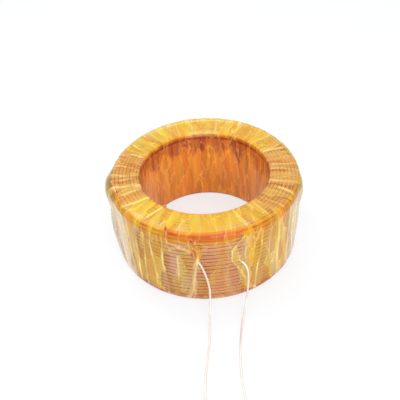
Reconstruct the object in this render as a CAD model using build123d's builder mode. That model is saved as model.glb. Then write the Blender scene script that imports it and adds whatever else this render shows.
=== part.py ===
"""Air core coil: enamelled wire wound into a plain ring with no former, bound all round with clear
film, its start and finish leads brought out through the film at the front.

Millimetres. +Z runs up the ring's axis, and the origin is the middle of the ring on the surface that
it stands on. The leads come out towards -Y and lie on that surface.
"""

import os
from math import cos, pi, radians, sin, tan

from build123d import *

# The ring, measured over its film
outer_diameter = 60.0
bore_diameter = 41.0
height = 27.0
shoulder_radius = 1.8  # the outer top corner, where the film is drawn over the start wire
corner_radius = 0.8  # the other three corners

# The binding film, which laps over itself most in the bore, where each turn of it is crowded
film_outside = 0.15
film_ends = 0.18
film_bore = 0.20

# The wire, over its enamel
wire_diameter = 0.6
wire_rise = 0.1  # how far the start wire's centreline stands off the winding that it crosses
slit_clearance = 0.1  # between a lead and the lips of its slit in the film

# The start wire comes up at the bore, crosses the top end of the winding and runs down its outside
# to the slit: degrees about the axis, with 0 towards +X, and millimetres below the shoulder
start_rises_at = -125.5
start_crosses_from = -124.6
start_crosses_to = -112.5
start_goes_down = [(-111.4, 1.6), (-105.5, 2.6), (-100.0, 4.2), (-96.6, 6.9)]
start_depth = 0.9  # how deep in the bore corner the start wire begins
start_inset = 2.2  # from the bore to where it lies on the top end

# Each lead's route: x, the distance out in front of the ring, and the height above the surface
lead_lies = wire_diameter / 2
start_route = [
    (-1.9, 0.7, 15.7),
    (-0.9, 1.8, 12.9),
    (-0.1, 2.7, 9.9),
    (0.1, 3.7, 6.6),
    (-0.2, 6.0, 3.4),
    (-0.4, 9.6, 1.1),
    (-0.6, 14.4, lead_lies),
    (-1.3, 19.3, lead_lies),
    (-2.2, 25.2, lead_lies),
    (-2.6, 33.0, lead_lies),
    (-2.3, 42.0, lead_lies),
    (-1.2, 51.5, lead_lies),
    (-1.6, 61.0, lead_lies),
    (-3.4, 69.5, lead_lies),
]
finish_route = [
    (8.2, -2.0, 16.0),
    (10.6, -1.0, 14.6),
    (11.4, 0.5, 12.3),
    (11.4, 1.2, 10.0),
    (11.2, 1.9, 7.1),
    (10.7, 3.6, 3.7),
    (9.8, 6.4, 1.3),
    (8.8, 10.4, lead_lies),
    (7.9, 16.0, lead_lies),
    (7.4, 22.8, lead_lies),
    (7.5, 29.6, lead_lies),
    (8.5, 37.0, lead_lies),
    (10.5, 45.5, lead_lies),
    (12.9, 54.0, lead_lies),
    (14.4, 62.5, lead_lies),
]

front = -outer_diameter / 2
winding_outer = outer_diameter / 2 - film_outside
winding_bore = bore_diameter / 2 + film_bore
winding_base = film_ends
winding_top = height - film_ends


def polar(radius, angle, z):
    """The point at this radius, angle in degrees and height."""
    return Vector(radius * cos(radians(angle)), radius * sin(radians(angle)), z)


def in_front(route):
    """The points of a lead's route, which is measured from the front of the ring."""
    return [Vector(x, front - out, z) for x, out, z in route]


def bend_radii(points, known=None):
    """The radius at each inner point. One that isn't known is 0.45 of the shorter run beside it over
    the tangent of half the turn, and a run is counted without what a known bend at its end takes."""
    known = known or {}
    half_turns, taken = {}, {}
    for i, (before, at, after) in enumerate(zip(points, points[1:], points[2:]), start=1):
        half_turns[i] = radians((at - before).get_angle(after - at)) / 2
        taken[i] = known[i] * tan(half_turns[i]) if i in known else 0
    radii = []
    for i, half_turn in half_turns.items():
        run_in = (points[i] - points[i - 1]).length - taken.get(i - 1, 0)
        run_out = (points[i + 1] - points[i]).length - taken.get(i + 1, 0)
        radii.append(known.get(i, 0.45 * min(run_in, run_out) / tan(half_turn)))
    return radii


def wire_path(points, radii):
    """Straight runs through the points, joined by tangent arcs."""
    with BuildLine() as path:
        FilletPolyline(*points, radius=radii)
    return path.wires()[0]


def tube(path, diameter):
    """A round tube along a path."""
    with BuildPart() as body:
        with BuildSketch(Plane(origin=path @ 0, z_dir=path % 0)):
            Circle(diameter / 2)
        sweep(path=path)
    return body.part


def ring(bore, outer, base, top, shoulder, corner):
    """A ring of rectangular section with rounded corners, given by its radii and heights."""
    with BuildPart() as body:
        with BuildSketch(Plane.XZ) as section:
            with Locations(((bore + outer) / 2, (base + top) / 2)):
                Rectangle(outer - bore, top - base)
            upper_outer = section.vertices().group_by(Axis.X)[-1].sort_by(Axis.Y)[-1]
            fillet(upper_outer, shoulder)
            inner = section.vertices().group_by(Axis.X)[0]
            lower_outer = section.vertices().group_by(Axis.X)[-1].sort_by(Axis.Y)[0]
            fillet([*inner, lower_outer], corner)
        revolve(axis=Axis.Z)
    return body.part


# Paths of the start wire under the film, and of both leads outside it
over_outside = winding_outer + wire_rise
over_top = winding_top + wire_rise
under_shoulder = height - shoulder_radius
under_film = [
    polar(winding_bore + start_depth, start_rises_at, winding_top - start_depth),
    polar(winding_bore + start_inset, start_crosses_from, over_top),
    polar(over_outside, start_crosses_to, over_top),
    *(polar(over_outside, angle, under_shoulder - drop) for angle, drop in start_goes_down),
]
shoulder_bend = shoulder_radius - film_outside + wire_rise
under_film_radii = bend_radii(under_film, {2: shoulder_bend})
start_points = [under_film[-1], *in_front(start_route)]
finish_points = in_front(finish_route)

start_run_path = wire_path(under_film, under_film_radii)
start_path = wire_path(start_points, bend_radii(start_points))
finish_path = wire_path(finish_points, bend_radii(finish_points))

# All the turns are one solid, with the start wire lying across it
with BuildPart() as winding:
    add(
        ring(
            winding_bore,
            winding_outer,
            winding_base,
            winding_top,
            shoulder_radius - film_outside,
            corner_radius - film_outside,
        )
    )
    add(tube(start_run_path, wire_diameter))
winding.part.label = "winding"

# The film is a thin closed skin over the winding and the start wire, slit where each lead leaves
with BuildPart() as film_wrap:
    add(
        ring(
            bore_diameter / 2,
            outer_diameter / 2,
            0,
            height,
            shoulder_radius,
            corner_radius,
        )
    )
    add(tube(start_run_path, wire_diameter + 2 * film_outside))
    add(winding.part, mode=Mode.SUBTRACT)
    for path in (start_path, finish_path):
        add(tube(path, wire_diameter + 2 * slit_clearance), mode=Mode.SUBTRACT)
film_wrap.part.label = "film_wrap"

with BuildPart() as start_lead:
    add(tube(start_path, wire_diameter))
    add(winding.part, mode=Mode.SUBTRACT)
start_lead.part.label = "start_lead"

with BuildPart() as finish_lead:
    add(tube(finish_path, wire_diameter))
    add(winding.part, mode=Mode.SUBTRACT)
finish_lead.part.label = "finish_lead"

os.makedirs("parts", exist_ok=True)
for piece in (winding, film_wrap, start_lead, finish_lead):
    export_step(piece.part, f"parts/{piece.part.label}.step")

wire_section = pi * (wire_diameter / 2) ** 2
for name, lead, path, points in (
    ("start_lead", start_lead, start_path, start_points),
    ("finish_lead", finish_lead, finish_path, finish_points),
):
    radii = ", ".join(f"{radius:.1f}" for radius in bend_radii(points))
    print(f"{name}: radii {radii}")
    print(f"{name}: length {path.length:.2f}, volume {lead.part.volume:.3f}")
    print(f"{name}: section times length {wire_section * path.length:.3f}")
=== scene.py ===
"""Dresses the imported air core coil: its turns of enamelled wire, the amber film bound round them and the
two free leads, on a pale floor in soft light.

Lengths are millimetres until they go into a mesh, which is in metres. Angles are degrees about the
ring's axis, with 0 towards +X and -90 at the front, where the leads come out.
"""

import logging
from dataclasses import dataclass, field
from enum import Enum
from math import tau

import bpy
import numpy as np
from mathutils import Matrix, Vector


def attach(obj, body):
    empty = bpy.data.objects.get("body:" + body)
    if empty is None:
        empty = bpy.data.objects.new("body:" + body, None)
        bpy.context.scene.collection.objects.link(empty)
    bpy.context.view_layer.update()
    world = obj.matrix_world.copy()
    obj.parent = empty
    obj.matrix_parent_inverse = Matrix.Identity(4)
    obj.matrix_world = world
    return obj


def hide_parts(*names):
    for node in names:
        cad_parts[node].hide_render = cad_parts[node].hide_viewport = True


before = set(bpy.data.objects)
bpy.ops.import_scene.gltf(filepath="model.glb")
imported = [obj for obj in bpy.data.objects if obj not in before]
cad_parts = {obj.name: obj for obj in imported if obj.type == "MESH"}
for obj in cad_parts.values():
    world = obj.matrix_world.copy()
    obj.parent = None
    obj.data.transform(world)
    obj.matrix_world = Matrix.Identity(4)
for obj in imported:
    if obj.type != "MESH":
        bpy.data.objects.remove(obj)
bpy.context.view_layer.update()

log = logging.getLogger("coil")

MM = 0.001
WIRE = 0.6
OUTER_RADIUS, BORE_RADIUS, HEIGHT = 30.0, 20.5, 27.0
FILM_OUTSIDE, FILM_ENDS, FILM_BORE = 0.15, 0.18, 0.20
SHOULDER, CORNER = 1.8, 0.8
CORNER_POINTS = 13  # points on each rounded corner of a section
UV_MAP = "surface"
GRAIN_DEPTH = 0.03  # how high the wire's fine bumps stand


class Slot(Enum):
    """The record's material slots."""

    WIRE = "enamelled_copper"
    FILM = "binding_film"
    LEAD = "lead_wire"


# ----------------------------------------
# Meshes and materials


def grid_faces(rows: int, columns: int) -> np.ndarray:
    """The quads of a grid whose rows and columns both close on themselves.

    Args:
        rows: how many rows of points, in the order they are stored.
        columns: how many points in a row.

    Returns:
        One row of four point numbers for each face.
    """
    i, j = np.meshgrid(np.arange(rows), np.arange(columns), indexing="ij")
    below, along = (i + 1) % rows * columns, (j + 1) % columns
    faces = np.stack([i * columns + j, i * columns + along, below + along, below + j], -1)
    return faces.reshape(-1, 4)


def make_mesh(name: str, points: np.ndarray, faces: np.ndarray) -> bpy.types.Object:
    """A smooth mesh object at the origin.

    Args:
        name: the piece's name.
        points: one row of x, y and z for each point, in millimetres.
        faces: one row of four point numbers for each face.

    Returns:
        The object, linked to the scene.
    """
    mesh = bpy.data.meshes.new(name)
    mesh.vertices.add(len(points))
    mesh.vertices.foreach_set("co", (points * MM).astype(np.float32).ravel())
    mesh.loops.add(faces.size)
    mesh.loops.foreach_set("vertex_index", faces.astype(np.int32).ravel())
    mesh.polygons.add(len(faces))
    mesh.polygons.foreach_set("loop_start", np.arange(0, faces.size, 4, dtype=np.int32))
    mesh.polygons.foreach_set("use_smooth", np.ones(len(faces), bool))
    mesh.update(calc_edges=True)
    mesh.validate()
    made = bpy.data.objects.new(name, mesh)
    bpy.context.scene.collection.objects.link(made)
    return made


def set_attribute(piece: bpy.types.Object, name: str, values: np.ndarray) -> None:
    """Stores one number for each point of a piece's mesh.

    Args:
        piece: the object whose mesh gets the attribute.
        name: the attribute's name, which a finish reads.
        values: the numbers, in the points' order.
    """
    attribute = piece.data.attributes.new(name, "FLOAT", "POINT")
    attribute.data.foreach_set("value", values.astype(np.float32).ravel())


def set_uv(piece: bpy.types.Object, angles: np.ndarray, along: np.ndarray, faces: np.ndarray, whole: float) -> None:
    """Stores a UV map in millimetres, round the axis and along the section: u is the angle in radians
    times the outer radius, and v the walked length. It runs on past the closing column and row, so that
    no face spans the whole map.

    Args:
        piece: the object whose mesh gets the map.
        angles: degrees from the first column, one for each point.
        along: the walked length of each point.
        faces: the mesh's quads.
        whole: the section's whole length.
    """
    u = angles * OUTER_RADIUS * tau / 360
    corners = np.stack([u.ravel()[faces], along.ravel()[faces]], -1)
    for axis, span in ((0, OUTER_RADIUS * tau), (1, whole)):
        values = corners[..., axis]
        wraps = values.max(1) - values.min(1) > span / 2
        low = values < values.mean(1, keepdims=True)
        values[wraps[:, None] & low] += span
        corners[..., axis] = values
    layer = piece.data.uv_layers.new(name=UV_MAP)
    layer.data.foreach_set("uv", corners.astype(np.float32).ravel())


def place(piece: bpy.types.Object, material: bpy.types.Material) -> None:
    """Gives a piece its material and slot, and lets it ride on the part's one body.

    Args:
        piece: the object.
        material: its finish.
    """
    piece.data.materials.append(material)
    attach(piece, "root")


class Nodes:
    """A material's node tree, with short calls for what the finishes below need."""

    def __init__(self, name: str) -> None:
        """Starts an empty tree.

        Args:
            name: the material's name.
        """
        self.material = bpy.data.materials.new(name)
        self.material.use_nodes = True
        self.tree = self.material.node_tree
        self.tree.nodes.clear()

    def add(self, kind: str, inputs: dict | None = None, **settings: object) -> bpy.types.Node:
        """A new node.

        Args:
            kind: the node's Blender type name.
            inputs: a value or another node's output for each named or numbered input.
            settings: the node's own settings.

        Returns:
            The node.
        """
        node = self.tree.nodes.new(kind)
        for key, value in settings.items():
            setattr(node, key, value)
        for key, value in (inputs or {}).items():
            if isinstance(value, bpy.types.NodeSocket):
                self.tree.links.new(value, node.inputs[key])
            else:
                node.inputs[key].default_value = value
        return node

    def math(self, operation: str, first: object, second: object = 0.0, clamp: bool = False) -> bpy.types.NodeSocket:
        """The result of one sum.

        Args:
            operation: the sum's Blender name.
            first: a number or another node's output.
            second: the same.
            clamp: whether the result is kept between 0 and 1.

        Returns:
            The output.
        """
        node = self.add("ShaderNodeMath", {0: first, 1: second}, operation=operation, use_clamp=clamp)
        return node.outputs[0]

    def about(self, value: bpy.types.NodeSocket, middle: float, factor: float) -> bpy.types.NodeSocket:
        """How far a value is from its middle, times a factor.

        Args:
            value: another node's output.
            middle: what gives 0.
            factor: how much the distance counts.

        Returns:
            The output.
        """
        return self.math("MULTIPLY", self.math("SUBTRACT", value, middle), factor)

    def attribute(self, name: str) -> bpy.types.NodeSocket:
        """A number stored on the mesh's points.

        Args:
            name: the attribute's name.

        Returns:
            The output.
        """
        return self.add("ShaderNodeAttribute", attribute_name=name).outputs["Fac"]

    def ramp(self, factor: bpy.types.NodeSocket, stops: list[tuple[float, tuple]]) -> bpy.types.NodeSocket:
        """A colour picked by a factor from 0 to 1.

        Args:
            factor: another node's output.
            stops: each stop's place and its red, green and blue.

        Returns:
            The colour's output.
        """
        node = self.add("ShaderNodeValToRGB", {0: factor})
        elements = node.color_ramp.elements
        while len(elements) < len(stops):
            elements.new(0.5)
        for element, (position, colour) in zip(elements, stops):
            element.position = position
            element.color = (*colour, 1.0)
        return node.outputs[0]

    def stretched(self, around: float, along: float) -> bpy.types.NodeSocket:
        """The surface map, stretched so that a pattern is long one way.

        Args:
            around: the pattern's cells in a millimetre round the axis.
            along: its cells in a millimetre along the section.

        Returns:
            The coordinates' output.
        """
        where = self.add("ShaderNodeUVMap", uv_map=UV_MAP).outputs[0]
        return self.add("ShaderNodeMapping", {0: where, "Scale": (around, along, 1.0)}).outputs[0]

    def noise(self, around: float, along: float, detail: float) -> bpy.types.Node:
        """Noise on the surface map.

        Args:
            around: its cells in a millimetre round the axis.
            along: its cells in a millimetre along the section.
            detail: how many finer layers it has.

        Returns:
            The noise node.
        """
        where = self.stretched(around, along)
        return self.add("ShaderNodeTexNoise", {"Vector": where, "Scale": 1.0, "Detail": detail})

    def wire(self, colour: bpy.types.NodeSocket, height: bpy.types.NodeSocket,
             finish: "CopperFinish | LeadFinish") -> bpy.types.Material:
        """Finishes the material as half metallic wire with fine bumps.

        Args:
            colour: the colour's output.
            height: the output that the bumps follow.
            finish: what gives the metal, the roughness and the grain, which is how strong the bumps are.

        Returns:
            The material.
        """
        relief = {"Strength": finish.grain, "Distance": GRAIN_DEPTH * MM, "Height": height}
        bump = self.add("ShaderNodeBump", relief).outputs[0]
        look = {"Base Color": colour, "Metallic": finish.metal, "Roughness": finish.roughness, "Normal": bump}
        return self.finish(self.add("ShaderNodeBsdfPrincipled", look).outputs[0])

    def finish(self, surface: bpy.types.NodeSocket) -> bpy.types.Material:
        """Joins the surface to the output.

        Args:
            surface: the shader to show.

        Returns:
            The material.
        """
        self.add("ShaderNodeOutputMaterial", {"Surface": surface})
        return self.material


@dataclass(frozen=True)
class Waves:
    """Smooth noise that closes round the ring: a sum of cosines of whole numbers of waves about the axis
    plus a random phase and a random number of waves per millimetre along the section, scaled to about
    -1 to 1.

    seed says which noise, and count how many cosines. turns is the fewest and most waves about the axis,
    and pitch the least and most radians per millimetre along the section."""

    seed: int
    count: int
    turns: tuple[int, int]
    pitch: tuple[float, float]

    def at(self, angle: np.ndarray, along: np.ndarray) -> np.ndarray:
        """The noise over the surface.

        Args:
            angle: degrees about the axis.
            along: millimetres along the section.

        Returns:
            The noise, in the shape that angle and along share.
        """
        rng = np.random.default_rng(self.seed)
        total = np.zeros(np.broadcast(angle, along).shape)
        for _ in range(self.count):
            whole = rng.integers(self.turns[0], self.turns[1] + 1)
            slope = rng.uniform(*self.pitch) * rng.choice((-1, 1))
            total += np.cos(np.radians(angle) * whole + along * slope + rng.uniform(0, tau))
        return total / np.sqrt(self.count / 2) / 2


def smooth_step(low: float, high: float, value: np.ndarray) -> np.ndarray:
    """An even S, t squared times (3 - 2 t), t being how far the value is from low to high.

    Args:
        low: where it is 0.
        high: where it is 1, which may be below low.
        value: the values.

    Returns:
        A number from 0 to 1 for each value.
    """
    t = np.clip((value - low) / (high - low), 0, 1)
    return t * t * (3 - 2 * t)


def around_to(angle: np.ndarray | float, centre: np.ndarray | float) -> np.ndarray:
    """How far an angle is from another, the short way round.

    Args:
        angle: degrees.
        centre: the angle that it is measured from.

    Returns:
        Degrees from -180 to 180.
    """
    return (np.asarray(angle) - centre + 180) % 360 - 180


# ----------------------------------------
# The ring's section


@dataclass(frozen=True)
class Section:
    """A rectangle with rounded corners, walked from its outer base corner up the outside, in over the top
    end, down the bore and out under the base.

    bore, outer, base and top are the radii and heights of its sides, shoulder the radius of its outer
    top corner and corner that of the other three."""

    bore: float
    outer: float
    base: float
    top: float
    shoulder: float
    corner: float

    def outline(self) -> np.ndarray:
        """Closely spaced points: straight sides between quarter circles, each point of which is its
        centre plus its radius times the cosine and the sine of its turn.

        Returns:
            One row of radius and height for each point.
        """
        corners = [
            (self.outer - self.shoulder, self.top - self.shoulder, self.shoulder, 0),
            (self.bore + self.corner, self.top - self.corner, self.corner, 90),
            (self.bore + self.corner, self.base + self.corner, self.corner, 180),
            (self.outer - self.corner, self.base + self.corner, self.corner, 270),
        ]
        points = [(self.outer, self.base + self.corner)]
        for r, z, radius, start in corners:
            turn = np.radians(np.linspace(start, start + 90, CORNER_POINTS))
            points += zip(r + radius * np.cos(turn), z + radius * np.sin(turn))
        return np.array(points)

    def lengths(self) -> np.ndarray:
        """The walked length at each point of the outline: the running sum of the steps between them.

        Returns:
            The lengths, from 0.
        """
        steps = np.hypot(*np.diff(self.outline(), axis=0).T)
        return np.concatenate([[0.0], np.cumsum(steps)])

    def ends(self) -> np.ndarray:
        """Where the sides meet.

        Returns:
            Five walked lengths: 0, and those at which the outside, the top end, the bore and the base
            end, each with the rounded corner after it.
        """
        return self.lengths()[::CORNER_POINTS]

    def at(self, along: np.ndarray, out: np.ndarray | float = 0.0) -> tuple[np.ndarray, np.ndarray]:
        """Radius and height at walked lengths, moved out along the section's normal, which is a quarter
        turn from the line between the points just ahead and just behind.

        Args:
            along: walked lengths in millimetres, of any number of whole rounds.
            out: how far outside the section.

        Returns:
            The radii and the heights.
        """
        lengths, outline = self.lengths(), self.outline()
        whole, step = lengths[-1], 0.05
        r, z = (np.interp(along % whole, lengths, outline[:, k]) for k in (0, 1))
        ahead, behind = (along + step) % whole, (along - step) % whole
        dr, dz = (np.interp(ahead, lengths, side) - np.interp(behind, lengths, side) for side in outline.T)
        size = np.hypot(dr, dz)
        return r + out * dz / size, z - out * dr / size


WOUND = Section(
    BORE_RADIUS + FILM_BORE,
    OUTER_RADIUS - FILM_OUTSIDE,
    FILM_ENDS,
    HEIGHT - FILM_ENDS,
    SHOULDER - FILM_OUTSIDE,
    CORNER - FILM_OUTSIDE,
)
BOUND = Section(BORE_RADIUS, OUTER_RADIUS, 0.0, HEIGHT, SHOULDER, CORNER)


def revolve(radii: np.ndarray, heights: np.ndarray, angles: np.ndarray) -> np.ndarray:
    """Points of a ring: each row's radius and height turned about the axis, x being the radius times the
    cosine of the angle and y the radius times its sine.

    Args:
        radii: one row for each place along the section and one column for each angle.
        heights: the same.
        angles: degrees, one for each column.

    Returns:
        One row of x, y and z for each point.
    """
    turn = np.radians(angles)[None, :]
    return np.stack([radii * np.cos(turn), radii * np.sin(turn), heights + 0 * turn], -1).reshape(-1, 3)


# ----------------------------------------
# Finishes


@dataclass(frozen=True)
class CopperFinish:
    """Round copper wire under clear enamel, with painted shade darkening it down between the turns.

    drift is how much the colour strays from turn to turn, and grain how strong the fine bumps are."""

    name: str = "enamelled_copper"
    bright: tuple = (0.80, 0.43, 0.28)
    # middle and deep are painted shade, down in the gaps between the turns
    middle: tuple = (0.60, 0.26, 0.14)
    deep: tuple = (0.12, 0.03, 0.015)
    roughness: float = 0.34
    metal: float = 0.55
    drift: float = 0.5
    grain: float = 0.15

    def build(self) -> bpy.types.Material:
        """The material. The attribute sunk says how far down between two turns a point lies, as
        painted shade that is deeper in a darker valley.

        Returns:
            The material.
        """
        nodes = Nodes(self.name)
        drift = nodes.noise(0.05, 1.6, 2.0)
        factor = nodes.math("ADD", nodes.attribute("sunk"), nodes.about(drift.outputs[0], 0.4, self.drift))
        colour = nodes.ramp(factor, [(0.0, self.bright), (0.4, self.middle), (1.0, self.deep)])
        return nodes.wire(colour, nodes.noise(0.6, 8.0, 3.0).outputs[0], self)


@dataclass(frozen=True)
class LeadFinish:
    """The bright free wire of the leads, a little paler here and there along it."""

    name: str = "lead_wire"
    colour: tuple = (0.82, 0.66, 0.57)
    pale: tuple = (0.90, 0.76, 0.67)
    roughness: float = 0.3
    metal: float = 0.6
    grain: float = 0.1

    def build(self) -> bpy.types.Material:
        """The material, with a faint unevenness along the wire.

        Returns:
            The material.
        """
        nodes = Nodes(self.name)
        where = nodes.add("ShaderNodeTexCoord").outputs["Object"]
        noise = nodes.add("ShaderNodeTexNoise", {"Vector": where, "Scale": 900.0, "Detail": 2.0}).outputs[0]
        colour = nodes.ramp(noise, [(0.3, self.colour), (0.8, self.pale)])
        return nodes.wire(colour, noise, self)


@dataclass(frozen=True)
class FilmFinish:
    """Clear amber film: what lies under it shows through, tinted more with each lap, and it has a faint
    golden body of its own and a full gloss.

    tint and body each have a colour for 0, 1.25, 2.5, 3.75 and 5 laps; the deepest of them also serve as
    painted shade, which goes in as extra laps at the base corners, in dark folds and at the shoulder.
    milk is the colour of whitish haze and of painted sheen, and fold that of the painted
    highlight on a fold's edge. wrinkles is how strong the painted highlight on the rims between the
    crumpled facets is, facets how unlike each other the facets are, streaks how much the film's depth
    strays and relief how deep its bumps are, in millimetres. The gloss follows Fresnel's law for the index,
    up to most."""

    name: str = "binding_film"
    tint: tuple = ((1.0, 0.93, 0.80), (1.0, 0.89, 0.38), (1.0, 0.75, 0.16), (0.97, 0.47, 0.07), (0.72, 0.16, 0.03))
    body: tuple = ((1.0, 0.85, 0.12), (1.0, 0.76, 0.03), (1.0, 0.53, 0.012), (0.96, 0.31, 0.012), (0.40, 0.04, 0.008))
    # The whitish colour of haze, also used for the painted sheen of the white surround at the ring's sides
    milk: tuple = (1.0, 0.74, 0.53, 1.0)
    # fold is the colour of a painted highlight, on folds, lap edges and the rims of the crumpled facets
    fold: tuple = (1.0, 0.79, 0.26, 1.0)
    roughness: float = 0.14
    wrinkles: float = 1.3
    facets: float = 0.28
    streaks: float = 0.18
    relief: float = 0.25
    index: float = 1.4
    most: float = 0.45

    def crumple(self, nodes: Nodes) -> tuple[bpy.types.Node, bpy.types.Node]:
        """The long facets that the film is crumpled into, on a surface map bent by a slow noise.

        Args:
            nodes: the material's nodes.

        Returns:
            The nodes that give each facet's own colour and the distance to its rim.
        """
        warp = nodes.noise(0.4, 0.15, 2.0).outputs["Color"]
        warp = nodes.add("ShaderNodeVectorMath", {0: warp, 3: 1.3}, operation="SCALE").outputs[0]
        where = {0: nodes.stretched(0.30, 0.10), 1: warp}
        bent = {"Vector": nodes.add("ShaderNodeVectorMath", where, operation="ADD").outputs[0], "Scale": 1.0}
        facet = nodes.add("ShaderNodeTexVoronoi", bent)
        return facet, nodes.add("ShaderNodeTexVoronoi", bent, feature="DISTANCE_TO_EDGE")

    def build(self) -> bpy.types.Material:
        """The material. The attributes come from the film's own mesh: laps is how many laps of film lie on
        a point, with painted shade added as laps at the base corners and in dark folds, crease
        how strong the painted highlight near a fold's or a lap's edge is, haze how much the film hides there
        and milk how whitish that haze is, partly the film's own whitishness and partly a painted
        sheen of the white surround at the ring's sides. Each facet is a little clearer or deeper than the
        next, with a painted highlight on the rim where they meet.

        Returns:
            The material.
        """
        nodes = Nodes(self.name)
        laps, crease, haze, milk = (nodes.attribute(n) for n in ("laps", "crease", "haze", "milk"))
        streak, fine = nodes.noise(0.5, 0.08, 4.0).outputs[0], nodes.noise(3.0, 0.6, 3.0).outputs[0]
        facet, rim = self.crumple(nodes)
        own = nodes.add("ShaderNodeSeparateColor", {0: facet.outputs["Color"]}).outputs
        # Painted highlight: a pale rim where the crumpled facets meet, faint where the streaks are low
        rimmed = nodes.math("MULTIPLY", rim.outputs["Distance"], 22.0)
        rimmed = nodes.math("SUBTRACT", 1.0, rimmed, clamp=True)
        rimmed = nodes.math("MULTIPLY", rimmed, nodes.math("SUBTRACT", streak, 0.25, clamp=True))
        calm = nodes.math("SUBTRACT", 1.1, haze)
        uneven = nodes.math("MULTIPLY", nodes.about(streak, 0.5, self.streaks), calm)
        cell = nodes.math("MULTIPLY", nodes.about(own[0], 0.5, self.facets), calm)
        depth = nodes.math("ADD", nodes.math("MULTIPLY", laps, 0.2), uneven)
        depth = nodes.math("ADD", depth, nodes.math("MULTIPLY", cell, 0.8))
        places = (0.0, 0.25, 0.5, 0.75, 1.0)
        tint, body = (nodes.ramp(depth, list(zip(places, colours))) for colours in (self.tint, self.body))
        # Painted highlight: at folds, lap edges and facet rims the film turns towards the pale fold colour and hides
        # more of what lies under it
        edge = nodes.math("ADD", crease, nodes.math("MULTIPLY", rimmed, self.wrinkles), clamp=True)
        body = nodes.add("ShaderNodeMix", {0: milk, 6: body, 7: self.milk}, data_type="RGBA").outputs[2]
        lit = nodes.add("ShaderNodeMix", {0: edge, 6: body, 7: self.fold}, data_type="RGBA").outputs[2]
        cover = nodes.math("ADD", haze, nodes.about(own[1], 0.5, self.facets))
        cover = nodes.math("ADD", cover, nodes.math("MULTIPLY", edge, 0.6), clamp=True)
        height = nodes.math("ADD", streak, nodes.math("MULTIPLY", fine, 0.3))
        height = nodes.math("ADD", height, nodes.math("MULTIPLY", own[2], 0.5))
        relief = {"Strength": 0.45, "Distance": self.relief * MM, "Height": height}
        bump = nodes.add("ShaderNodeBump", relief).outputs[0]
        clear = nodes.add("ShaderNodeBsdfTransparent", {0: tint})
        look = {"Base Color": lit, "Roughness": 0.35, "Specular IOR Level": 0.15, "Normal": bump}
        solid = nodes.add("ShaderNodeBsdfPrincipled", look)
        mixed = nodes.add("ShaderNodeMixShader", {0: cover, 1: clear.outputs[0], 2: solid.outputs[0]})
        gloss = nodes.add("ShaderNodeBsdfGlossy", {"Roughness": self.roughness, "Normal": bump})
        fresnel = nodes.add("ShaderNodeFresnel", {"IOR": self.index}).outputs[0]
        share = nodes.math("MINIMUM", fresnel, self.most)
        shown = nodes.add("ShaderNodeMixShader", {0: share, 1: mixed.outputs[0], 2: gloss.outputs[0]})
        return nodes.finish(shown.outputs[0])


# ----------------------------------------
# The winding


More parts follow.
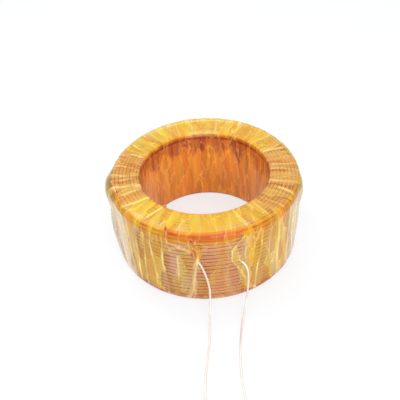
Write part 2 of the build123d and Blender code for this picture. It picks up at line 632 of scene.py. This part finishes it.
@dataclass
class Winding:
    """All the turns, as one closed skin of half-round ridges round the section.

    sides gives, for the outside, the top end, the bore and the base, how many turns there are and how
    many rows of points cross each turn. A valley is shallow millimetres deep, and deeper by deep times
    its darkness, which also sets how much painted shade the copper gets down in it. stray is how far the
    turns wander along the section, after the noise strays, and own is each valley's own noise about the axis."""

    sides: tuple = ((37, 5), (14, 5), (40, 2), (15, 3))
    columns: int = 250
    shallow: float = 0.05
    deep: float = 0.42
    stray: float = 0.20
    seed: int = 11
    own: Waves = Waves(5, 5, (1, 5), (0, 0))
    strays: Waves = Waves(9, 7, (1, 5), (0.1, 0.5))
    finish: CopperFinish = field(default_factory=CopperFinish)

    def rows(self) -> tuple[np.ndarray, np.ndarray, np.ndarray]:
        """Where the skin's rows lie.

        Each side is cut into equal turns, and each turn has a few rows across it, from valley to valley.

        Returns:
            The walked length of each row, its place across its turn from -1 to 1, and the number of the
            valley nearest to it.
        """
        ends = WOUND.ends()
        along, across, valley = [], [], []
        first = 0
        for start, end, (turns, each) in zip(ends, ends[1:], self.sides):
            turn = np.arange(turns * each) / each
            along.append(start + (end - start) * turn / turns)
            across.append(2 * (turn % 1) - 1)
            valley.append(first + np.round(turn).astype(int))
            first += turns
        return np.concatenate(along), np.concatenate(across), np.concatenate(valley) % first

    def valleys(self, valley: np.ndarray, own: np.ndarray, lean: np.ndarray) -> np.ndarray:
        """How wide, deep and dark each valley is, its darkness being painted shade down between the turns:
        every second one is more so than the one before it, on the top end all are less so, and noise and the
        valley's own lean are added to that.

        Args:
            valley: the number of each row's valley.
            own: each valley's noise about the axis.
            lean: each valley's own number from 0 to 1.

        Returns:
            A number from 0.03 to 1.15 for each row and column.
        """
        first, turns = self.sides[0][0], self.sides[1][0]
        on_top_end = (valley >= first) & (valley < first + turns)
        pairs = (np.where(valley % 2, 0.55, -0.55) * np.where(on_top_end, 0.7, 1.0))[:, None]
        dark = np.clip(0.50 + pairs + 0.20 * own + 0.25 * (lean - 0.5), 0.04, 1.15)
        return dark * np.where(on_top_end, 0.75, 1.0)[:, None]

    def build(self) -> bpy.types.Object:
        """The skin. A turn rises from its valleys by a half-round, sqrt(1 - across squared), times the
        valley's depth, and strays along the section with a slow noise. The attribute sunk, the painted
        shade between the turns, is 1 less that half-round, raised to a power that is lower in a wide valley,
        times how dark the valley is.

        Returns:
            The piece.
        """
        along, across, valley = self.rows()
        angles = np.linspace(0, 360, self.columns, endpoint=False)
        rng = np.random.default_rng(self.seed)
        lean = rng.uniform(0.0, 1.0, int(valley.max()) + 1)[valley][:, None]
        phase = rng.uniform(0, 360, int(valley.max()) + 1)[valley][:, None]
        own = self.own.at(angles[None, :] + phase, 0 * along[:, None])
        dark = self.valleys(valley, own, lean)
        ridge = np.sqrt(np.clip(1 - across**2, 0, 1))[:, None]
        sink = (1 - ridge) * (self.shallow + self.deep * dark) + ridge * 0.03 * (1 + np.clip(own, -1, 1))
        stray = self.stray * self.strays.at(angles[None, :], along[:, None]) + 0.03 * own
        r, z = WOUND.at(along[:, None] + stray, -sink)
        faces = grid_faces(len(along), self.columns)
        piece = make_mesh("winding_turns", revolve(r, z, angles), faces)
        # Painted shade: the copper darkens down into each valley between the turns, more so in a dark valley
        width = 1.0 - 0.45 * np.clip(dark, 0, 1)
        set_attribute(piece, "sunk", (1 - ridge) ** width * (0.12 + 1.3 * dark) + 0 * r)
        set_uv(piece, angles + 0 * r, along[:, None] + 0 * r, faces, WOUND.ends()[-1])
        place(piece, self.finish.build())
        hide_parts("winding")
        return piece


# ----------------------------------------
# The film


def on_outside(height: float) -> float:
    """The walked length of a place on the ring's outside: its height less the base corner's radius.

    Args:
        height: its height.

    Returns:
        The walked length.
    """
    return height - CORNER


def on_top(radius: float) -> float:
    """The walked length of a place on the ring's top end: where that begins, plus how far in it lies.

    Args:
        radius: its distance from the axis.

    Returns:
        The walked length.
    """
    return BOUND.ends()[1] + OUTER_RADIUS - SHOULDER - radius


def in_bore(height: float) -> float:
    """The walked length of a place on the bore's wall: where that begins, plus how far down it lies.

    Args:
        height: its height.

    Returns:
        The walked length.
    """
    return BOUND.ends()[2] + HEIGHT - CORNER - height


@dataclass(frozen=True)
class Crease:
    """A sharp fold in the film through points of angle and walked length.

    width is its half width and rise its height in millimetres, and bright how strong the painted
    highlight on its edge is, or how deep the fold's painted shade is where bright is below 0."""

    points: tuple
    width: float = 0.3
    rise: float = 0.15
    bright: float = 0.7


@dataclass(frozen=True)
class Patch:
    """Part of the surface where more or less film lies: knots of walked length with the patch's two
    edges in degrees, what it adds to the laps, the haze and the milk, how soft its edges are in
    degrees, and how strong the painted highlight along them is."""

    knots: tuple
    laps: float
    haze: float
    milk: float = 0.0
    soft: float = 0.5
    edge: float = 0.30


@dataclass(frozen=True)
class Tent:
    """A place where the film stands off the turns: its middle, its half spread in degrees and in
    millimetres along the section, and how far it stands off."""

    angle: float
    along: float
    spread: float
    length: float
    rise: float


TOP_IN = on_top(20.9)
# The folds across the top end, the folds up the outside, the gathers where the start wire leaves, the
# start wire's own line under the film, a lap's edge beside the finish wire, and the folds in the bore.
# Where bright is above 0 a fold's edge gets a painted highlight, and where it is below 0 the fold gets
# painted shade, which on the start wire's line also stands for the wire showing dark through the film
CREASES = (
    *(
        Crease(((a, on_top(29.3)), (a + lean, on_top(r))), width, rise, bright)
        for a, lean, r, width, rise, bright in (
            (-204, 3, 21.0, 0.30, 0.22, 0.8), (-199, -4, 23.5, 0.22, 0.12, 0.35), (-190, 4, 22.0, 0.20, 0.10, 0.3),
            (-177, 1, 21.2, 0.32, 0.24, 0.9), (-171, -3, 21.2, 0.40, 0.26, 0.8), (-165, 2, 21.0, 0.60, 0.32, 1.0),
            (-156, -1, 21.0, 0.45, 0.24, 0.8), (-147, 3, 21.0, 0.36, 0.22, 0.75), (-138, -3, 23.0, 0.2, 0.1, 0.3),
            (-130, 4, 21.0, 0.26, 0.18, 0.6), (-108, 3, 23.0, 0.2, 0.12, 0.4), (-88, -2, 21.5, 0.2, 0.1, 0.3),
            (-77, 3, 22.0, 0.22, 0.12, 0.35), (-66, -3, 21.0, 0.25, 0.15, 0.5), (-52, 2, 21.0, 0.25, 0.15, 0.5),
            (-40, -2, 21.0, 0.25, 0.16, 0.5), (-27, 2, 21.0, 0.45, 0.26, 0.9), (-17, -2, 21.0, 0.50, 0.28, 0.95),
            (-11, 3, 23.0, 0.2, 0.12, 0.4), (-5, 2, 21.0, 0.45, 0.26, 0.9), (2, 1, 21.0, 0.42, 0.24, 0.85),
            (11, -2, 24.0, 0.2, 0.1, 0.3), (20, 2, 21.0, 0.3, 0.2, 0.8), (25, -3, 21.0, 0.26, 0.18, 0.7),
            (37, 2, 22.0, 0.22, 0.14, 0.45), (52, -3, 21.0, 0.24, 0.14, 0.45), (66, 2, 22.0, 0.22, 0.14, 0.45),
            (80, -2, 21.0, 0.26, 0.16, 0.5), (97, 2, 22.0, 0.22, 0.14, 0.5), (109, 2, 21.0, 0.26, 0.16, 0.55),
            (121, -2, 22.5, 0.22, 0.12, 0.4), (135, 2, 21.0, 0.26, 0.15, 0.5), (147, 3, 21.0, 0.28, 0.18, 0.6),
        )
    ),
    *(
        Crease(((a, on_outside(top)), (b, on_outside(base))), width, rise, bright)
        for a, top, b, base, width, rise, bright in (
            (-152, 25, -150, 3, 0.35, 0.20, 0.6), (-158, 24, -161, 8, 0.3, 0.2, 0.5),
            (-141, 25, -140, 1, 0.35, 0.20, 0.7), (-134.5, 25, -134, 2, 0.30, 0.18, 0.6),
            (-128, 25.5, -129, 1, 0.26, 0.18, 0.75), (-123, 22, -121, 2, 0.24, 0.16, 0.6),
            (-116.5, 24, -114.5, 0.5, 0.28, 0.22, 0.95), (-107.5, 19, -107, 8, 0.25, 0.16, 0.7),
            (-111, 21, -112, 13, 0.22, 0.12, 0.4),
            (-95.3, 18.6, -101.5, 0.0, 0.34, 0.30, 0.8), (-94.4, 17.6, -90.5, 8, 0.22, 0.12, 0.35),
            (-58.5, 24.5, -62.5, 1, 0.28, 0.22, 0.95), (-52, 23, -53, 9, 0.24, 0.14, 0.45),
            (-46.5, 25, -45, 2, 0.30, 0.18, 0.6), (-35, 25, -36, 3, 0.34, 0.22, 0.8),
            (-30, 25, -27, 4, 0.30, 0.2, 0.8), (-22, 24, -23, 6, 0.3, 0.2, 0.5),
            (-66, 16, -68, 3, 0.22, 0.12, 0.35),
        )
    ),
    *(
        Crease(
            (
                (-96.2 + a, on_outside(top)), (-95.9 + 0.2 * a, on_outside(18.4)), (-96.5 + b, on_outside(base)),
            ),
            0.22, 0.16, bright,
        )
        for a, top, b, base, bright in (
            (-4.5, 21.5, -1.5, 14.5, -0.7), (-2, 22.8, 1.5, 13.5, -0.9), (1, 23.4, 3.6, 14.2, -0.7),
            (4, 22.6, 5.5, 16.0, -0.5), (-3, 22.0, 2.4, 16.8, 0.5), (2.4, 22.9, -0.2, 15.2, 0.5),
        )
    ),
    Crease(
        (
            (-125.5, in_bore(25.2)), (-125.2, on_top(20.9)), (-118.5, on_top(24.7)), (-112.5, on_top(28.5)),
            (-111.4, on_outside(23.6)), (-105.5, on_outside(22.6)), (-100, on_outside(21)),
            (-96.6, on_outside(18.3)),
        ),
        0.46, 0.42, -1.0,
    ),
    Crease(
        (
            (-70, on_outside(25)), (-77.3, on_outside(20.3)), (-77, on_outside(16.5)), (-73.5, on_outside(13)),
            (-69, on_outside(7.0)),
        ),
        0.22, 0.14, 0.55,
    ),
    *(
        Crease(((a, in_bore(26)), (b, in_bore(z))), width, rise, bright)
        for a, b, z, width, rise, bright in (
            (150, 148, 3, 0.4, 0.2, 0.15), (139, 141, 6, 0.4, 0.2, -0.2), (131, 129, 1, 0.5, 0.2, 0.12),
            (122, 124, 8, 0.5, 0.22, -0.25), (114, 112, 2, 0.5, 0.2, 0.1), (107, 108, 14, 0.8, 0.2, -0.25),
            (99, 101, 3, 0.4, 0.2, 0.12), (91, 92, 15, 0.9, 0.2, -0.3), (82, 76, 9, 0.45, 0.25, 0.2),
            (74, 66, 8, 0.45, 0.26, 0.22), (73, 64, 9, 0.7, 0.25, -0.35), (60, 52, 4, 0.45, 0.25, 0.2),
            (59, 49, 8, 0.6, 0.25, -0.35), (48, 44, 2, 0.4, 0.22, 0.15), (45, 38, 4, 0.4, 0.22, -0.35),
            (33, 30, 2, 0.4, 0.2, 0.12), (24, 22, 4, 0.4, 0.2, 0.1), (12, 10, 2, 0.4, 0.2, 0.1),
            (158, 160, 2, 0.4, 0.2, 0.12),
        )
    ),
)
# Laps and bare stretches on the outside from left to right, the slack film at both sides with a painted
# whitish sheen of the white surround on it, the top end in four parts, the shoulder, whose extra laps
# also stand in as painted shade of the dark gap under the film there, the bore's rim, and the gathers
# where the start wire leaves
PATCHES = (
    Patch(((on_outside(-0.5), -147, -116), (on_outside(24.5), -147, -116)), 0.45, 0.12, 0.0, 3.0, 0.0),
    Patch(((on_outside(0), -141.5, -134.0), (on_top(28), -142, -133)), 0.4, 0.16),
    Patch(((on_outside(0), -129, -121), (on_top(29), -128.5, -123)), 0.3, 0.06),
    Patch(
        ((on_outside(0), -117, -101.5), (on_outside(19), -116.5, -95.5), (on_outside(25), -116, -96)),
        -0.3, 0.02, 0.3,
    ),
    Patch(((on_outside(0), -101, -70), (on_outside(25), -95, -70)), -0.9, -0.08, 0.3, 1.0, 0.0),
    Patch(((on_outside(-0.5), -103.0, -99.6), (on_outside(17.5), -97.2, -95.3)), 1.1, 0.12, 0.0, 0.3, 0.35),
    Patch(
        (
            (on_outside(0), -70, -33), (on_outside(7), -69, -34), (on_outside(13), -73.5, -34),
            (on_outside(16.5), -77, -34), (on_outside(20.3), -77.3, -34), (on_outside(25), -70, -33),
        ),
        0.80, 0.22, 0.0, 0.4, 0.5,
    ),
    Patch(((on_outside(2), -46, -35), (on_top(28), -47, -35)), 0.3, 0.10),
    # Painted sheen: whitish cover at the left and right sides, where the film reflects the white surround
    Patch(((on_outside(-1), -190, -143), (on_outside(24.5), -190, -144)), -0.4, 0.45, 0.75, 5.0, 0.0),
    Patch(((on_outside(-1), -32, 5), (on_outside(24), -33, 5)), -0.4, 0.45, 0.65, 5.0, 0.0),
    Patch(((on_top(28.2), -145, -52), (TOP_IN, -147, -50)), 0.1, 0.24, 0.0, 6.0, 0.0),
    Patch(((on_top(28.2), 28, 157), (TOP_IN, 26, 157)), 0.1, 0.18, 0.0, 6.0, 0.0),
    Patch(((on_top(28.2), -50, 26), (TOP_IN, -50, 26)), 0.2, 0.0, 0.25, 6.0, 0.0),
    Patch(((on_top(28.2), -203, -147), (TOP_IN, -203, -147)), 0.2, 0.0, 0.25, 6.0, 0.0),
    # Painted shade, partly: the shoulder band, in this patch and the next, gets extra laps that deepen its orange as
    # the shade of the dark gap under the film at the outer top corner
    Patch(((on_outside(24.4), -160, -20), (on_top(29.2), -160, -20)), 1.2, 0.16, -0.5, 6.0, 0.0),
    Patch(
        ((on_outside(24.5), -105, -76), (on_outside(26.0), -108.5, -70), (on_outside(27.2), -112, -64)),
        1.7, 0.08, -0.5, 2.0, 0.0,
    ),
    Patch(((on_top(21.3), -180, 179.9), (in_bore(25.5), -180, 179.9)), 1.3, 0.15, 0.0, 0.1, 0.0),
    Patch(((on_top(21.6), 78, 102), (in_bore(26.6), 76, 104)), -0.6, 0.10, 0.35, 4.0, 0.0),
    Patch(
        (
            (on_outside(16.5), -96.6, -96.2), (on_outside(18), -98.0, -94.4), (on_outside(20.5), -99.5, -92.5),
            (on_outside(22.5), -98.0, -93.5),
        ),
        2.4, 0.34, -0.5, 0.6, 0.0,
    ),
)
# Slack film at the left and right sides and along the far rim, and where each wire leaves
TENTS = (
    Tent(-173, on_outside(24.2), 17, 6.5, 1.45),
    Tent(-170, on_outside(11), 22, 13.5, 1.25),
    Tent(-12, on_outside(22.5), 9, 6.5, 0.95),
    Tent(-12, on_outside(12), 14, 12, 0.45),
    Tent(90, on_top(29.5), 88, 3.2, 0.75),
    Tent(-95.3, on_outside(19.3), 3.0, 2.6, 0.40),
    Tent(-72.5, on_outside(15.5), 3.5, 3.0, 0.35),
)


def behind(seed: int) -> tuple[list[Crease], list[Patch]]:
    """Folds and laps on the outside of the ring's far half, at seeded random places.

    Args:
        seed: which set of places.

    Returns:
        The creases and the patches.
    """
    rng = np.random.default_rng(seed)
    creases, patches = [], []
    for angle in np.arange(12, 172, 9.5):
        a = angle + rng.uniform(-3, 3)
        b = a + rng.uniform(-4, 4)
        points = ((a, on_outside(rng.uniform(21, 25.5))), (b, on_outside(rng.uniform(0.5, 7))))
        creases.append(Crease(points, rng.uniform(0.24, 0.4), 0.2, rng.uniform(0.4, 0.95)))
        if rng.uniform() < 0.55:
            width, lean = rng.uniform(6, 13), rng.uniform(-3, 3)
            knots = ((on_outside(0), a, a + width), (on_top(28.4), a + lean, a + width + lean))
            patches.append(Patch(knots, rng.uniform(0.2, 0.6), rng.uniform(0.05, 0.2), rng.uniform(0, 0.25)))
    return creases, patches


class Skin:
    """The film's surface while it is shaped, with a row for each place along the section and a column for
    each angle: how many laps lie there, painted shade included, how much they hide, how whitish they are,
    painted sheen included, how strong the painted highlight near a fold's or a lap's edge is, and how far
    out it lies in millimetres."""

    # The plain film's laps, and what the bore, its torn part and the base corners add to them; at the base
    # corners the laps are partly film and partly painted shade where the ring sits
    LAPS, BORE_LAPS, TORN_LAPS, FOOT_LAPS = 1.2, 2.3, 0.9, 5.0
    # Its haze, and what the bore and the base corners add, which at the base corners is partly painted shade
    HAZE, BORE_HAZE, FOOT_HAZE = 0.17, 0.66, 0.5
    # How far it and its ripples stand off the turns, and how far the outer base corner does
    OFF, RIPPLES, FOOT_OFF = 0.03, 0.05, 0.45
    # How much a patch lifts the film, how wide its pale edge, a painted highlight, is and how softly its two ends
    # fade
    PATCH_OFF, PATCH_EDGE, PATCH_END = 0.05, 0.25, 0.8
    # The laps and the haze that a dark fold adds, as painted shade in the fold
    FOLD_LAPS, FOLD_HAZE = 2.0, 0.45
    MOTTLE = Waves(31, 14, (5, 40), (0.03, 0.35))
    TORN = Waves(33, 9, (8, 40), (0.1, 0.3))
    CLOUD = Waves(32, 14, (6, 50), (0.03, 0.35))
    RIPPLE = Waves(22, 10, (12, 70), (0.0, 0.15))
    BEND = Waves(41, 9, (4, 30), (0.05, 0.45))
    STRENGTH = Waves(42, 9, (3, 30), (0.1, 0.7))

    def __init__(self, along: np.ndarray, angles: np.ndarray) -> None:
        """Starts with the plain film. It lies thickest and haziest in the bore, most of all below a torn
        line near its top, and at the two base corners, by exp(-(distance / width) squared), where the extra
        laps and haze are partly painted shade where the ring sits. Noise mottles it all over, and makes it
        whitish on the outside.

        Args:
            along: the walked length of each row.
            angles: the degrees of each column.
        """
        self.along, self.angles = along[:, None], angles[None, :]
        where = self.angles, self.along
        _, top, bore, base, whole = BOUND.ends()
        outside = smooth_step(top + 2.6, top + 0.5, self.along)
        outside = outside + smooth_step(base + 2, whole, self.along)
        inside = smooth_step(bore - 0.6, bore + 1.0, self.along)
        inside = inside * smooth_step(base + 1, base, self.along)
        mottle = self.MOTTLE.at(*where)
        # Painted shade where the ring sits, partly: extra laps and haze along the outer base corner and the bore's
        # bottom corner
        foot = np.exp(-((np.minimum(self.along, whole - self.along) / 0.9) ** 2))
        foot = foot + np.exp(-(((self.along - base) / 0.7) ** 2))
        upper = smooth_step(bore + 7.5, bore + 4.5, self.along + 4.0 * self.TORN.at(*where))
        self.laps = self.LAPS + 0.35 * mottle * (1 - 0.8 * inside)
        self.laps = self.laps + inside * (self.BORE_LAPS + self.TORN_LAPS * upper) + self.FOOT_LAPS * foot
        self.haze = self.HAZE + 0.10 * self.CLOUD.at(*where) + inside * self.BORE_HAZE + self.FOOT_HAZE * foot
        self.milk = np.clip(0.10 - 0.35 * mottle, 0, 1) * outside
        self.out = self.OFF + self.RIPPLES * self.RIPPLE.at(*where) * (0.4 + 0.6 * outside)
        self.out = self.out + self.FOOT_OFF * np.exp(-(((self.along - whole + 0.63) / 0.6) ** 2))
        self.crease = np.zeros(mottle.shape)
        self.degree = np.radians(1) * BOUND.at(self.along)[0]
        self.bent = self.angles + 0.7 * self.BEND.at(*where)
        self.strength = np.clip(0.7 + 0.5 * self.STRENGTH.at(*where), 0.05, 1.2)

    def add_patch(self, patch: Patch) -> None:
        """Adds a patch between its edges, with a soft step at each, and exp(-(distance / width) squared)
        of the painted highlight on its pale edge.

        Args:
            patch: the patch.
        """
        knots = np.array(patch.knots)
        low, high = (np.interp(self.along, knots[:, 0], knots[:, k]) for k in (1, 2))
        off = np.abs(around_to(self.bent, (low + high) / 2)) - (high - low) / 2
        within = smooth_step(patch.soft, -patch.soft, off)
        within = within * smooth_step(knots[0, 0] - self.PATCH_END, knots[0, 0], self.along)
        within = within * smooth_step(knots[-1, 0] + self.PATCH_END, knots[-1, 0], self.along)
        self.laps = self.laps + patch.laps * within
        self.haze = self.haze + patch.haze * within
        self.milk = self.milk + patch.milk * within
        # Painted highlight along the patch's two edges
        edge = np.exp(-((off * self.degree / self.PATCH_EDGE) ** 2)) * (within > 0.02)
        self.crease = self.crease + patch.edge * edge
        self.out = self.out + self.PATCH_OFF * within

    def add_crease(self, fold: Crease) -> None:
        """Adds exp(-(d / width) squared) of a fold, d being the distance to its line: a painted highlight on a
        pale fold's edge, or painted shade in a dark fold. A pale fold fades towards the ends of each stretch as
        the root of the sine of the way along it.

        Args:
            fold: the fold to add.
        """
        for (a0, s0), (a1, s1) in zip(fold.points, fold.points[1:]):
            x0, y0 = around_to(self.bent, a0) * self.degree, self.along - s0
            dx, dy = around_to(a1, a0) * self.degree, s1 - s0
            t = np.clip((x0 * dx + y0 * dy) / (dx * dx + dy * dy), 0, 1)
            near = np.exp(-(((x0 - t * dx) ** 2 + (y0 - t * dy) ** 2) / fold.width**2))
            if fold.bright > 0:
                near = near * (0.4 + 0.6 * np.sin(np.pi * np.clip(t, 0.02, 0.98)) ** 0.5) * self.strength
            # A dark fold's painted shade goes in as extra laps and haze, and a pale fold's edge as a painted
            # highlight
            shade = max(-fold.bright, 0) * near
            self.out = self.out + fold.rise * near
            self.crease = self.crease + max(fold.bright, 0) * near
            self.laps = self.laps + self.FOLD_LAPS * shade
            self.haze = self.haze + self.FOLD_HAZE * shade

    def add_tent(self, tent: Tent) -> None:
        """Lifts the film by (1 - a squared) squared times (1 - b squared) squared, a and b running from
        -1 to 1 about the axis and along the section. Under a tall tent the film is clearer.

        Args:
            tent: the tent.
        """
        a = np.clip(around_to(self.angles, tent.angle) / tent.spread, -1, 1)
        b = np.clip((self.along - tent.along) / tent.length, -1, 1)
        bulge = (1 - a * a) ** 2 * (1 - b * b) ** 2
        clear = bulge * smooth_step(0.5, 1.2, np.array(tent.rise))
        self.out = self.out + tent.rise * bulge
        self.laps = self.laps * (1 - 0.5 * clear)
        self.haze = self.haze * (1 - 0.6 * clear)


@dataclass
class Film:
    """The binding film, as one closed skin round the winding.

    counts gives the rows on the outside, the top end, the bore and the base. The columns lie step degrees
    apart from first to front_ends, and a fixed number of them fill the far side."""

    counts: tuple = (50, 34, 34, 10)
    first: float = -215.0
    front_ends: float = 35.0
    step: float = 0.46
    columns_behind: int = 192
    seed: int = 51
    finish: FilmFinish = field(default_factory=FilmFinish)

    def rows(self) -> np.ndarray:
        """Where the rows lie, closest on the outside and the top end.

        Returns:
            The walked length of each.
        """
        sides = zip(BOUND.ends(), BOUND.ends()[1:], self.counts)
        return np.concatenate([np.linspace(a, b, n, endpoint=False) for a, b, n in sides])

    def angles(self) -> np.ndarray:
        """Where the columns lie, in fine steps over the front and coarser ones behind.

        Returns:
            The degrees of each.
        """
        front = np.arange(self.first, self.front_ends, self.step)
        far = np.linspace(self.front_ends, self.first + 360, self.columns_behind, endpoint=False)
        return np.concatenate([front, far])

    def build(self) -> bpy.types.Object:
        """The skin: the plain film, then the sum of what each patch and each fold adds, then the tents.

        Returns:
            The piece.
        """
        skin = Skin(self.rows(), self.angles())
        more_creases, more_patches = behind(self.seed)
        for patch in (*PATCHES, *more_patches):
            skin.add_patch(patch)
        for fold in (*CREASES, *more_creases):
            skin.add_crease(fold)
        for tent in TENTS:
            skin.add_tent(tent)
        r, z = BOUND.at(skin.along + 0 * skin.angles, skin.out)
        faces = grid_faces(*r.shape)
        piece = make_mesh("film_wrap_skin", revolve(r, np.maximum(z, 0.0), skin.angles[0]), faces)
        set_attribute(piece, "laps", skin.laps)
        set_attribute(piece, "crease", np.clip(skin.crease, 0, 1))
        set_attribute(piece, "haze", skin.haze)
        set_attribute(piece, "milk", np.clip(skin.milk, 0, 1))
        set_uv(piece, skin.angles - self.first + 0 * r, skin.along + 0 * r, faces, BOUND.ends()[-1])
        place(piece, self.finish.build())
        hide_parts("film_wrap")
        return piece


# ----------------------------------------
# The leads

LIES = WIRE / 2
# Each point of a route is x, how far out in front of the ring it lies, and its height
START_ROUTE = (
    (-3.442, -0.248, 18.3), (-1.9, 0.7, 15.7), (-0.9, 1.8, 12.9), (-0.1, 2.7, 9.9), (0.1, 3.7, 6.6),
    (-0.2, 6.0, 3.4), (-0.4, 9.6, 1.1), (-0.6, 14.4, LIES), (-1.3, 19.3, LIES), (-2.2, 25.2, LIES),
    (-2.6, 33.0, LIES), (-2.3, 42.0, LIES), (-1.2, 51.5, LIES), (-1.6, 61.0, LIES), (-3.4, 69.5, LIES),
)
FINISH_ROUTE = (
    (8.2, -2.0, 16.0), (10.6, -1.0, 14.6), (11.4, 0.5, 12.3), (11.4, 1.2, 10.0), (11.2, 1.9, 7.1),
    (10.7, 3.6, 3.7), (9.8, 6.4, 1.3), (8.8, 10.4, LIES), (7.9, 16.0, LIES), (7.4, 22.8, LIES),
    (7.5, 29.6, LIES), (8.5, 37.0, LIES), (10.5, 45.5, LIES), (12.9, 54.0, LIES), (14.4, 62.5, LIES),
)


@dataclass
class Lead:
    """One free end of the wire, stiff enough to stand off the ring before it drops to the surface.

    name is the piece's name, node the CAD node that it replaces, route the points that its line is drawn
    towards, length its real length, which is not used, and steps how many points the line has for each of
    them."""

    name: str
    node: str
    route: tuple
    length: float
    steps: int = 12
    roundness: int = 4

    def build(self, material: bpy.types.Material) -> bpy.types.Object:
        """The lead as one smooth line through its route, with the wire's round section.

        Args:
            material: the lead's finish.

        Returns:
            The piece.
        """
        route = [(x * MM, (-OUTER_RADIUS - front) * MM, z * MM) for x, front, z in self.route]
        curve = bpy.data.curves.new(self.name, "CURVE")
        curve.dimensions = "3D"
        spline = curve.splines.new("NURBS")
        spline.points.add(len(route) - 1)
        for point, co in zip(spline.points, route):
            point.co = (*co, 1.0)
        spline.order_u = 3
        spline.use_endpoint_u = True
        spline.resolution_u = self.steps
        curve.bevel_depth = WIRE / 2 * MM
        curve.bevel_resolution = self.roundness
        curve.use_fill_caps = True
        piece = bpy.data.objects.new(self.name, curve)
        bpy.context.scene.collection.objects.link(piece)
        place(piece, material)
        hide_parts(self.node)
        return piece


# ----------------------------------------
# The room


@dataclass(frozen=True)
class Lamp:
    """A square soft box: its place and what it points at in millimetres, its side, and its power in
    watts."""

    name: str
    at: tuple
    aim: tuple
    size: float
    power: float

    def build(self) -> None:
        """Hangs the lamp, turned from its place towards its aim."""
        light = bpy.data.lights.new(self.name, "AREA")
        light.size, light.energy = self.size * MM, self.power
        lamp = bpy.data.objects.new(self.name, light)
        bpy.context.scene.collection.objects.link(lamp)
        lamp.location = Vector(self.at) * MM
        lamp.rotation_euler = (Vector(self.aim) * MM - Vector(self.at) * MM).to_track_quat("-Z", "Y").to_euler()


@dataclass
class Room:
    """The pale floor, the soft light and the camera.

    at, right and up are the camera's place in millimetres and its two axes. ambient is the surround's
    light, floor_half half the floor's side and floor_white the share of even white that the camera and
    reflections see on it."""

    at: tuple = (0.0, -132.0, 127.9)
    right: tuple = (0.99883, -0.02281, -0.04268)
    up: tuple = (0.04723, 0.65146, 0.75721)
    lens: float = 47.4
    sensor: float = 36.0
    ambient: float = 0.84
    floor_half: float = 1500.0
    floor_colour: tuple = (0.83, 0.86, 0.92, 1)
    floor_white: float = 0.66
    lamps: tuple = (
        Lamp("overhead", (-40, 60, 420), (0, 0, 10), 420, 0.6),
        Lamp("front", (120, -380, 260), (0, 0, 12), 260, 0.8),
        Lamp("spark", (-150, 170, 330), (0, 0, 20), 50, 0.12),
    )

    def floor(self) -> None:
        """A wide pale floor that looks near white and keeps a soft shadow.

        To the camera, and in reflections, part of it shows an even white and the rest what light falls
        on it.
        """
        half = self.floor_half
        points = np.array([(-half, -half, 0), (half, -half, 0), (half, half, 0), (-half, half, 0)])
        floor = make_mesh("floor", points, np.array([[0, 1, 2, 3]]))
        nodes = Nodes("floor")
        path = nodes.add("ShaderNodeLightPath").outputs
        seen = nodes.math("MAXIMUM", path["Is Camera Ray"], path["Is Glossy Ray"])
        seen = nodes.math("MAXIMUM", seen, path["Is Transmission Ray"])
        shader = nodes.add("ShaderNodeBsdfPrincipled", {"Base Color": self.floor_colour, "Roughness": 0.8})
        white = nodes.add("ShaderNodeEmission", {0: (1, 1, 1, 1), 1: 1.0})
        part = nodes.math("MULTIPLY", seen, self.floor_white)
        mixed = nodes.add("ShaderNodeMixShader", {0: part, 1: shader.outputs[0], 2: white.outputs[0]})
        floor.data.materials.append(nodes.finish(mixed.outputs[0]))

    def world(self) -> None:
        """An even white surround: white to the camera and in reflections, and plain light otherwise."""
        world = bpy.data.worlds.new("surround")
        bpy.context.scene.world = world
        world.use_nodes = True
        nodes, links = world.node_tree.nodes, world.node_tree.links
        background = nodes["Background"]
        background.inputs[0].default_value = (1, 1, 1, 1)
        path = nodes.new("ShaderNodeLightPath")
        seen = path.outputs["Is Camera Ray"]
        for name in ("Is Glossy Ray", "Is Transmission Ray"):
            either = nodes.new("ShaderNodeMath")
            either.operation = "MAXIMUM"
            links.new(seen, either.inputs[0])
            links.new(path.outputs[name], either.inputs[1])
            seen = either.outputs[0]
        mix = nodes.new("ShaderNodeMix")
        mix.inputs[2].default_value = self.ambient
        mix.inputs[3].default_value = 1.0
        links.new(seen, mix.inputs[0])
        links.new(mix.outputs[0], background.inputs[1])

    def camera(self) -> None:
        """The camera, high in front of the coil and rolled a little clockwise.

        Its back axis is right cross up.
        """
        data = bpy.data.cameras.new("camera")
        data.lens, data.sensor_width = self.lens, self.sensor
        data.clip_start, data.clip_end = 0.01, 10.0
        camera = bpy.data.objects.new("camera", data)
        bpy.context.scene.collection.objects.link(camera)
        right, up = Vector(self.right), Vector(self.up)
        axes = Matrix((right, up, right.cross(up))).transposed().to_4x4()
        camera.matrix_world = Matrix.Translation(Vector(self.at) * MM) @ axes
        bpy.context.scene.camera = camera

    def build(self) -> None:
        """Everything round the object."""
        self.camera()
        self.floor()
        self.world()
        for lamp in self.lamps:
            lamp.build()
        bpy.context.scene.view_settings.view_transform = "Standard"


def main() -> None:
    """Builds the room and the coil's pieces in order, and reports each."""
    logging.basicConfig(level=logging.INFO, format="%(message)s")
    Room().build()
    lead_finish = LeadFinish().build()
    pieces = [
        Lead("start_wire", "start_lead", START_ROUTE, 81.4).build(lead_finish),
        Lead("finish_wire", "finish_lead", FINISH_ROUTE, 75.7).build(lead_finish),
        Winding().build(),
        Film().build(),
    ]
    for piece in pieces:
        faces = len(piece.data.polygons) if piece.type == "MESH" else 0
        log.info("%s: %d faces", piece.name, faces)


if __name__ == "__main__":
    main()
